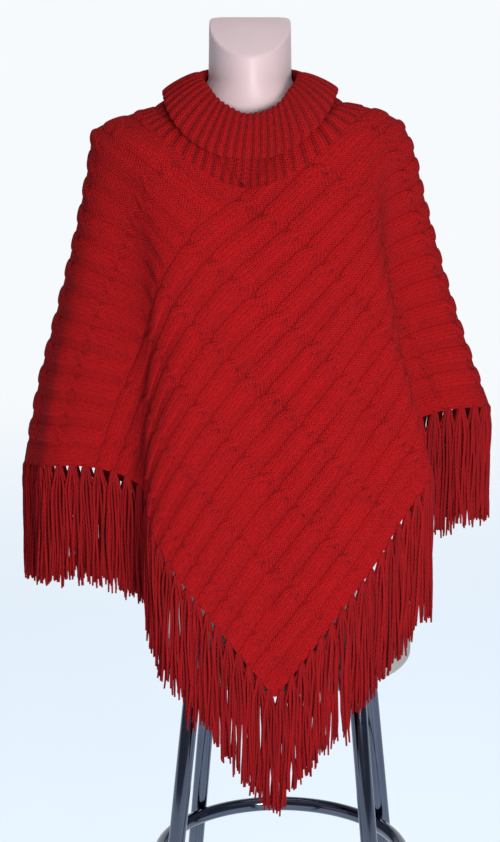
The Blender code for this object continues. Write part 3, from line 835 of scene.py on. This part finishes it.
def knitted_panel(panel, finish):
    """One oblong of cable knit as a thin closed shell."""
    us, vs, points, plain, tone = knit_grid(panel)
    faces, keep = shell_faces(len(us), len(vs))
    stitches, purl = stitch_places(panel, us, vs)
    made = new_piece(
        f"knit_panel_{panel}",
        np.vstack([points, plain[keep]]),
        faces,
        finish,
        {"stitch": stitches},
        # The height values carry the painted shade of the ditches, crossings and rib grooves
        {"height": np.concatenate([tone, tone[keep]]), "purl": purl},
    )
    made.data.set_sharp_from_angle(angle=SHARP_FOLD)
    return stand_in(made, f"panel_{panel}")


def neck_edges(around):
    """Inner and outer points just above the panels' neck edge, all round."""
    steps = np.linspace(0, 1, 4 * NECK_STEPS + 1)
    share = np.where(around <= 0.5, 2 * around, 2 - 2 * around)
    edges = {}
    for name, thick in (("inner", 0.0), ("outer", WALL_EDGE)):
        sides = []
        for panel in "ab":
            hem = PANEL_WIDTH + NECK_RUN * steps
            u = hem if panel == "a" else PANEL_WIDTH + PANEL_LENGTH - hem
            edge = cloth_points(panel, u, 0 * u, thick + 0 * u)
            away = edge - cloth_points(panel, u, 0 * u + EDGE_STEP, thick + 0 * u)
            sides.append(edge + unit(away) * COLLAR_GAP)
        for end in (0, -1):
            sides[0][end] = sides[1][end] = (sides[0][end] + sides[1][end]) / 2
        right, left = (
            np.stack([np.interp(share, steps, side[:, k]) for k in range(3)], axis=1)
            for side in sides
        )
        edges[name] = np.where((around <= 0.5)[:, None], right, left)
    return edges


def collar_line(around):
    """The line round the neck where the collar folds over."""
    turn = TURN * around
    front = np.cos(turn) > 0
    lift = np.sin(turn) ** 2
    depth = np.where(front, COLLAR_TOP["front"], COLLAR_TOP["back"])
    low = np.where(front, COLLAR_TOP_Z["front"], COLLAR_TOP_Z["back"])
    z = COLLAR_TOP_Z["side"] * lift + low * (1 - lift)
    return np.stack([COLLAR_TOP["side"] * np.sin(turn), -depth * np.cos(turn), z], axis=1)


# The collar's section: how far up and out each point lies, how much of the ribs' relief
# it has and where it is measured from, if not from the fold's line
COLLAR_SECTION = table(
    "height out rib start",
    (0.0000, 0.0000, 0.0, "inner"),
    (-0.0300, 0.0003, 0.2),
    (-0.0080, 0.0000, 0.3),
    (0.0012, 0.0008, 0.5),
    (0.0052, 0.0035, 0.7),
    (0.0064, 0.0078, 0.9),
    (0.0046, 0.0116, 1.0),
    (0.0000, 0.0143, 1.0),
    (-0.0120, 0.0166, 1.0),
    (-0.0260, 0.0176, 1.0),
    (-0.0380, 0.0174, 1.0),
    (-0.0465, 0.0164, 1.0),
    (-0.0492, 0.0148, 0.8),
    (-0.0500, 0.0126, 0.3),
    (-0.0488, 0.0106, 0.0),
    (-0.0400, 0.0104, 0.0),
    (-0.0250, 0.0106, 0.0),
    (-0.0070, 0.0082, 0.0),
    (-0.0056, 0.0064, 0.0),
    (-0.0080, 0.0050, 0.2),
    (-0.0300, 0.0048, 0.9),
    (-0.0390, 0.0048, 0.9),
    (0.0040, 0.0003, 0.8, "outer"),
    (0.0000, 0.0000, 0.0, "outer"),
)
COLLAR_SAMPLES = 12
COLLAR_FINE = 3
COLLAR_WRINKLE = 0.0010
COLLAR_STEP = 0.002
# The turned-down layer reaches further at the corners of the neck, less at its sides
OUTER_LAYER = 0.0100
COLLAR_REACH = 0.22
COLLAR_DRAW = 0.06


def through_rings(rings, ribs):
    """Finer rings on a smooth curve through the section's rings, with their ribs."""
    fine, amounts = [], []
    for k in range(len(rings) - 1):
        a, b = rings[k], rings[k + 1]
        bend_a = (b - rings[max(k - 1, 0)]) / 2
        bend_b = (rings[min(k + 2, len(rings) - 1)] - a) / 2
        for t in np.arange(COLLAR_FINE) / COLLAR_FINE:
            near = a * (1 + 2 * t) + bend_a * t
            far = b * (3 - 2 * t) + bend_b * (t - 1)
            fine.append(near * (1 - t) ** 2 + far * t**2)
            amounts.append(ribs[k] * (1 - t) + ribs[k + 1] * t)
    return np.array(fine + [rings[-1]]), np.array(amounts + [ribs[-1]])


def collar_rings(around):
    """The collar's points, by ring of its section and place round, and their ribs."""
    edges = neck_edges(around)
    top = collar_line(around)
    up = unit(top - edges["inner"])
    along = collar_line(around + COLLAR_STEP) - collar_line(around - COLLAR_STEP)
    out = unit(np.cross(along, up))
    starts = {"inner": edges["inner"], "outer": edges["outer"], "top": top}
    turn = TURN * around
    reach = 1 + COLLAR_REACH * np.sin(2 * turn) ** 2 - COLLAR_DRAW * np.sin(turn) ** 2
    rings = []
    for row in COLLAR_SECTION:
        height = np.where(row["out"] > OUTER_LAYER, reach, 1) * row["height"]
        start = starts[row.get("start", "top")]
        rings.append(start + up * height[:, None] + out * row["out"])
    fine, amounts = through_rings(rings, [row["rib"] for row in COLLAR_SECTION])
    lines = np.gradient(fine, axis=0)
    outward = unit(np.cross(lines, np.broadcast_to(along, fine.shape)))
    wrinkle = COLLAR_WRINKLE * np.sin(7 * turn + 0.6) * np.sin(3 * turn)
    raised = amounts[:, None] * (RIB_RAISE * (2 * rib_height(around) - 1) + wrinkle)
    return fine + outward * raised[:, :, None], amounts


def ribbed_collar(finish):
    """The folded rib round the neck."""
    count = RIB_COUNT * COLLAR_SAMPLES
    around = np.arange(count) / count
    fine, amounts = collar_rings(around)
    size = len(fine)
    i, k = grid(range(count), range(size))
    n, m = (k + 1) % size, (i + 1) % count
    faces = np.stack([i * size + k, i * size + n, m * size + n, m * size + k], axis=1)
    steps = np.linalg.norm(np.diff(fine, axis=0), axis=2).mean(axis=1)
    run = np.cumsum([0, *steps, STITCH_ROW])
    wales = (i[:, None] + np.array([0, 0, 1, 1])) / count * RIB_COUNT * 2
    stitch_rows = run[k[:, None] + np.array([0, 1, 1, 0])] / STITCH_ROW
    # Painted shade: the collar's rib grooves are painted darker, carried by its height values
    low, rise = RIB_SHADE_ON_COLLAR
    ribs = rib_height(around)[:, None] * np.clip(amounts, RIB_SHADE_LEAST, 1)
    made = new_piece(
        "ribbed_collar",
        fine.transpose(1, 0, 2).reshape(-1, 3),
        faces.tolist(),
        finish,
        {"stitch": np.stack([wales, stitch_rows], axis=2).reshape(-1, 2)},
        {"height": (low + rise * ribs).ravel()},
    )
    return stand_in(made, "collar")


def hem_line(panel, edge, runs):
    """Place, outward and downward directions of the hem at many runs along it."""
    ends = PANEL_LENGTH if edge == "long" else PANEL_WIDTH

    def spots(run, inward):
        run = np.clip(run, 0, ends)
        across = 0 * run + inward
        return (run, PANEL_WIDTH - across) if edge == "long" else (across, run)

    middle = WALL_EDGE / 2 + 0 * runs
    place, inside, before, after = (
        cloth_points(panel, *spots(runs + run, inward), middle)
        for run, inward in ((0, 0.0), (0, EDGE_STEP), (-EDGE_STEP, 0.0), (EDGE_STEP, 0.0))
    )
    along = unit(after - before)
    out = panel_normals(panel, *spots(runs, 0.0))
    down = unit(place - inside - along * ((place - inside) * along).sum(axis=1)[:, None])
    return place, along, out, down


def ring_faces(rings, sides):
    """The faces between the rings of a closed shape, and those that close its ends."""
    i, k = grid(range(rings - 1), range(sides))
    n, a, b = (k + 1) % sides, i * sides, (i + 1) * sides
    faces = np.stack([a + k, a + n, b + n, b + k], axis=1).tolist()
    ends = np.arange(sides)
    return faces + [ends[::-1].tolist(), ((rings - 1) * sides + ends).tolist()]


def tube(path, radius, sides):
    """Points and faces of a closed tube along a path, with its place round and along."""
    tangent = unit(np.gradient(path, axis=0))
    side = unit(np.cross(tangent, np.array([0.0, 1.0, 0.0])))
    other = np.cross(tangent, side)
    turn = (TURN * np.arange(sides) / sides)[None, :, None]
    ring = side[:, None] * np.cos(turn) + other[:, None] * np.sin(turn)
    points = path[:, None] + ring * radius[:, None, None]
    run = np.cumsum([0, *np.linalg.norm(np.diff(path, axis=0), axis=1)])
    far, around = grid(run, np.arange(sides) / sides)
    place = np.stack([around, far], axis=1)
    return points.reshape(-1, 3), ring_faces(len(path), sides), place


def hanging_strand(chance, frame_at, lane, layer, drop, lean):
    """The path of one strand: out of the hem, round the bundle's shoulder and down."""
    place, along, out, down = frame_at
    level = unit(np.array([along[0], along[1], 0.0]))
    front = np.array([-level[1], level[0], 0.0])
    front = front if front.dot(out) > 0 else -front
    wave = chance.random(3) * TURN
    curl = chance.normal(0, STRAND_SPREAD["curl"], 2)
    share = np.linspace(0, 1, STRAND_STEPS) ** FALL_POWER
    fall = share * drop
    width = np.interp(fall, BUNDLE_FALL, BUNDLE_WIDE)
    opened = smooth_step(fall / BUNDLE_FALL[-2])
    across = lane * (width - BUNDLE_WIDE[0])
    across += WAVER * np.sin(7 * share + wave[0]) * opened + (lean + curl[0]) * share**2
    depth = layer * (LAYER_AT_KNOT + (1 - LAYER_AT_KNOT) * opened) + curl[1] * share**2
    depth += WAVER * np.sin(6 * share + wave[1]) * opened
    root = place + along * lane * BUNDLE_WIDE[0]
    path = root + level * across[:, None] + front * depth[:, None]
    path[:, 2] -= fall
    path[1:3] += out * STRAND_RADIUS / 2
    top = root - down * ROOT_DEPTH + out * layer * LAYER_AT_ROOT
    return np.vstack([top, path])


def yarn_fringe(panel, edge, finish, seed):
    """The bundles of yarn along one hem, each drawn through the cloth's edge."""
    chance = np.random.default_rng(seed)
    length = PANEL_LENGTH if edge == "long" else PANEL_WIDTH
    count = round(length / LOCK_PITCH)
    runs = (np.arange(count) + 0.5) * length / count
    runs = runs + chance.normal(0, BUNDLE_SPREAD["run"], count)
    points, faces, uvs, shades = [], [], [], []
    total = 0
    centre, reach, extra = LONGER.get((panel, edge), (0.0, 1.0, 0.0))
    drops = LOCK_LENGTH + extra * np.exp(-(((runs - centre) / reach) ** 2))
    for drop, *frame_at in zip(drops, *hem_line(panel, edge, runs)):
        drop += chance.normal() * BUNDLE_SPREAD["drop"]
        lean = chance.normal() * BUNDLE_SPREAD["lean"]
        for strand in range(STRANDS):
            lane = (strand + 0.5) / STRANDS - 0.5 + chance.normal() * STRAND_SPREAD["lane"]
            layer = (strand % STRAND_LAYERS - 1) * LAYER_STEP
            layer += chance.normal() * STRAND_SPREAD["layer"]
            fall = drop * (1 + chance.normal() * STRAND_SPREAD["fall"])
            path = hanging_strand(chance, frame_at, lane, layer, fall, lean)
            radius = np.full(len(path), STRAND_RADIUS * (THINNEST + THICKER * chance.random()))
            radius[-1] *= TIP_SHARE
            made, loops, place = tube(path, radius, STRAND_SIDES)
            points.append(made)
            uvs.append(place + np.array([0, chance.random() * 0.05]))
            shades.append(np.full(len(made), chance.random()))
            faces.extend([total + k for k in loop] for loop in loops)
            total += len(made)
    made = new_piece(
        f"yarn_fringe_{panel}_{edge}",
        np.vstack(points),
        faces,
        finish,
        {"strand": np.vstack(uvs)},
        {"shade": np.concatenate(shades)},
    )
    return stand_in(made, f"fringe_{panel}_{edge}")


# The form's rings. Those that don't climb across, or are widest at 0, leave those out.
FORM_LEVELS = table(
    "height half_width front back climb widest",
    (0.7503, 0.122, 0.096, 0.100),
    (0.800, 0.142, 0.106, 0.110),
    (0.880, 0.146, 0.104, 0.108),
    (0.980, 0.130, 0.094, 0.092),
    (1.080, 0.134, 0.098, 0.094),
    (1.180, 0.154, 0.112, 0.104, 0.01, 0.0),
    (1.250, 0.172, 0.102, 0.102, 0.02, 0.0),
    (1.313, 0.186, 0.084, 0.092, 0.03, 0.0),
    (1.364, 0.193, 0.068, 0.080, 0.04, 0.0),
    (1.400, 0.188, 0.058, 0.068, 0.043, 0.0),
    (1.418, 0.168, 0.054, 0.060, 0.043, 0.0),
    (1.429, 0.132, 0.052, 0.056, 0.035, 0.0),
    (1.438, 0.090, 0.053, 0.052, 0.02, 0.002),
    (1.452, 0.060, 0.059, 0.042, 0.0, 0.009),
    (1.475, 0.053, 0.076, 0.023, 0.0, 0.026),
    (1.560, 0.052, 0.078, 0.021, 0.0, 0.028),
)
FORM_SIDES = 144
# The neck's back is squarer than the body and its front more pointed, from this height up
NECK_ROUND_Z = 1.430
NECK_GROWS = 0.050
NECK_SQUARE = 5.0
NECK_POINTED = -0.45
FORM_RINGS_BETWEEN = 5
FORM_NECK_FOOT = 1.476
# The rounded edge of the neck's cut: how far below the cut and inside the neck
FORM_RIM = ((0.0040, 0.0), (0.0018, 0.0004), (0.0005, 0.0014), (0.0, 0.0030))


def form_ring(level, shrink=0.0):
    """One ring of the form, drawn in by shrink."""
    turn = TURN * np.arange(FORM_SIDES) / FORM_SIDES
    across, along = np.sin(turn), np.cos(turn)
    width = level["half_width"] - shrink
    depth = np.where(along > 0, level["front"], level["back"]) - shrink
    neck = smooth_step((level["height"] - NECK_ROUND_Z) / NECK_GROWS)
    power = 2 / (FORM_POWER + neck * np.where(along > 0, NECK_POINTED, NECK_SQUARE))
    x = width * np.sign(across) * np.abs(across) ** power
    y = level["widest"] - depth * np.sign(along) * np.abs(along) ** power
    return np.stack([x, y, level["height"] + level["climb"] * x], axis=1)


def smooth_form(finish):
    """The limbless body under the cloth, with a rounded edge round its neck cut."""
    marks = np.arange((len(FORM_LEVELS) - 1) * FORM_RINGS_BETWEEN) / FORM_RINGS_BETWEEN
    columns = {
        name: np.interp(marks, range(len(FORM_LEVELS)), [row.get(name, 0) for row in FORM_LEVELS])
        for name in FORM_LEVELS[-1]
    }
    levels = [dict(zip(columns, level)) for level in zip(*columns.values())]
    rings = [form_ring(level) for level in levels if level["height"] < FORM_NECK_FOOT]
    cut = FORM_NECK_CUT
    for drop, shrink in FORM_RIM:
        ring = form_ring(FORM_LEVELS[-1], shrink)
        ring[:, 2] = cut["front_z"] + cut["slope"] * (ring[:, 1] - cut["front_y"]) - drop
        rings.append(ring)
    faces = ring_faces(len(rings), FORM_SIDES)
    made = new_piece("smooth_form", np.vstack(rings), faces, finish)
    made.data.set_sharp_from_angle(angle=SHARP_HARD)
    return stand_in(made, "dress_form")


def leg_spread(height):
    """How far the legs' middles are from the stool's at a height."""
    share = height / (SEAT_TOP - SEAT_THICK)
    return LEG_SPREAD_FLOOR + (LEG_SPREAD_TOP - LEG_SPREAD_FLOOR) * share


def leg_middle(leg, height):
    """The middle of a leg at a height."""
    reach = leg_spread(height)
    turn = math.radians(90 * leg - 45) + STOOL_TURN
    x, y = STOOL_X + reach * math.cos(turn), reach * math.sin(turn)
    return Vector((x - FRAME_X, y - FRAME_Y, height))


def finish_piece(made, name, finish, node):
    """Fixes a modelled piece's place and gives it its name, material, node and slot."""
    bpy.ops.object.transform_apply(location=True, rotation=True, scale=True)
    made.name = made.data.name = name
    made.data.materials.clear()
    made.data.materials.append(finish)
    bpy.ops.object.shade_smooth_by_angle(angle=SHARP_HARD)
    bpy.ops.object.select_all(action="DESELECT")
    return stand_in(made, node)


def soft_cylinder(radius, height, middle, edge, sides=40, segments=3, turned=(0, 0, 0)):
    """A cylinder whose edges are rounded by a bevel of the width edge."""
    bpy.ops.mesh.primitive_cylinder_add(
        vertices=sides, radius=radius, depth=height, location=middle, rotation=turned
    )
    made = bpy.context.object
    bevel = made.modifiers.new("soft_edge", "BEVEL")
    bevel.width, bevel.segments = edge, segments
    bevel.limit_method = "ANGLE"
    bevel.angle_limit = SHARP_HARD
    bpy.ops.object.modifier_apply(modifier="soft_edge")
    return made


def stool_leg(leg, finish):
    low = leg_middle(leg, FOOT_HEIGHT + LEG_OFF_FOOT)
    high = leg_middle(leg, SEAT_TOP - SEAT_THICK - LEG_OFF_SEAT)
    run = high - low
    turned = run.to_track_quat("Z", "Y").to_euler()
    middle = (low + high) / 2
    made = soft_cylinder(LEG_RADIUS, run.length, middle, edge=0.0012, turned=turned)
    return finish_piece(made, f"chrome_leg_{leg}", finish, f"leg_{leg}")


def stool_foot(leg, finish):
    middle = leg_middle(leg, 0.0)
    middle.z = FOOT_HEIGHT / 2
    made = soft_cylinder(FOOT_RADIUS, FOOT_HEIGHT, middle, edge=0.0022)
    return finish_piece(made, f"rubber_foot_{leg}", finish, f"foot_{leg}")


def stool_ring(finish):
    bpy.ops.mesh.primitive_torus_add(
        major_radius=leg_spread(RING_HEIGHT) - LEG_RADIUS - RING_TUBE - RING_GAP,
        minor_radius=RING_TUBE,
        major_segments=128,
        minor_segments=24,
        location=(STOOL_X - FRAME_X, -FRAME_Y, RING_HEIGHT),
    )
    return finish_piece(bpy.context.object, "chrome_foot_ring", finish, "foot_ring")


def stool_seat(finish):
    middle = (STOOL_X - FRAME_X, -FRAME_Y, SEAT_TOP - SEAT_THICK / 2)
    made = soft_cylinder(SEAT_RADIUS, SEAT_THICK, middle, edge=0.010, sides=128, segments=6)
    return finish_piece(made, "vinyl_seat", finish, "seat")


# Each light's name, place, the spot it shines at, power in watts and size
LIGHTS = (
    ("key_light", (0.50, -1.90, 1.26), (0, -0.1, 1.08), 37, 0.75),
    ("fill_light", (-2.6, -1.6, 1.7), (0, 0, 1.0), 2, 1.6),
    ("top_light", (0.0, 0.1, 3.3), (0, 0, 1.2), 21, 1.4),
)
FLOOR_REACH = 6
FLOOR_GLOW = (0.69, 0.77, 0.84, 1)
FLOOR_COLOUR = (0.30, 0.34, 0.38, 1)
# The floor fades away between these distances behind the part, into the backdrop
FLOOR_GONE, FLOOR_WHOLE = 5.6, 2.0
# The world is a dim room, and pale paper straight ahead of the camera
ROOM, PAPER = (0.13, 0.14, 0.18, 1), (0.93, 0.955, 0.975, 1)
PAPER_FROM, PAPER_WHOLE = 0.74, 0.93


def area_light(name, place, aim, power, size):
    light = bpy.data.lights.new(name, "AREA")
    light.energy, light.size = power, size
    made = add_object(name, light)
    made.location = place
    made.rotation_euler = (Vector(aim) - Vector(place)).to_track_quat("-Z", "Y").to_euler()


def rising(nodes, amount, low, high):
    """A smooth rise from 0 to 1 as the amount goes from low to high."""
    settings = {"interpolation_type": "SMOOTHSTEP"}
    return nodes.node("ShaderNodeMapRange", settings, {0: amount, 1: low, 2: high})


def pale_floor():
    mesh = bpy.data.meshes.new("studio_floor")
    far = FLOOR_REACH
    corners = [(-far, -far, 0), (far, -far, 0), (far, far, 0), (-far, far, 0)]
    mesh.from_pydata(corners, [], [(0, 1, 2, 3)])
    floor = add_object("studio_floor", mesh)
    glow = {"Emission_Color": FLOOR_GLOW, "Emission_Strength": 1.0}
    pale = Finish("pale_floor", Roughness=0.95, Specular_IOR_Level=0.05, **glow)
    seen = rising(pale, pale.part(pale.place(), 1), FLOOR_GONE, FLOOR_WHOLE)
    mesh.materials.append(pale.show(Base_Color=FLOOR_COLOUR, Alpha=seen))


def backdrop():
    world = bpy.data.worlds.new("studio_world")
    bpy.context.scene.world = world
    world.use_nodes = True
    sky = Nodes(world.node_tree)
    ahead = sky.part(sky.node("ShaderNodeTexCoord"), 1)
    colour = sky.blend(rising(sky, ahead, PAPER_FROM, PAPER_WHOLE), ROOM, PAPER)
    sky.feed(world.node_tree.nodes["Background"].inputs["Color"], colour)


def photo_camera():
    lens = bpy.data.cameras.new("photo_camera")
    lens.lens, lens.sensor_width = LENS_MM, SENSOR_MM
    eye = add_object("photo_camera", lens)
    eye.location = (-FRAME_X, -EYE_DISTANCE - FRAME_Y, EYE_HEIGHT)
    eye.rotation_euler = (math.pi / 2 - EYE_PITCH, 0, 0)
    bpy.context.scene.camera = eye
    bpy.context.scene.view_settings.view_transform = "Standard"


NECK_ROUNDS = np.linspace(0, 1, 8 * NECK_STEPS + 1)
NECK_TURNS = (neck_turn(neck_edges(NECK_ROUNDS)["outer"])[:-1], NECK_ROUNDS[:-1])

knit, rib, yarn = knit_finish("red_knit", True), knit_finish("red_rib", False), yarn_finish()
fringes = {
    (panel, edge): yarn_fringe(panel, edge, yarn, seed)
    for seed, (panel, edge) in enumerate(
        [("a", "long"), ("a", "short"), ("b", "long"), ("b", "short")], start=11
    )
}
for panel in "ab":
    cloth = knitted_panel(panel, knit)
ribbed_collar(rib)
smooth_form(form_finish())

chrome, rubber = chrome_finish(), rubber_finish()
for leg in range(1, 5):
    stool_leg(leg, chrome)
    stool_foot(leg, rubber)
stool_ring(chrome)
stool_seat(seat_finish())

pale_floor()
backdrop()
for light in LIGHTS:
    area_light(*light)
photo_camera()
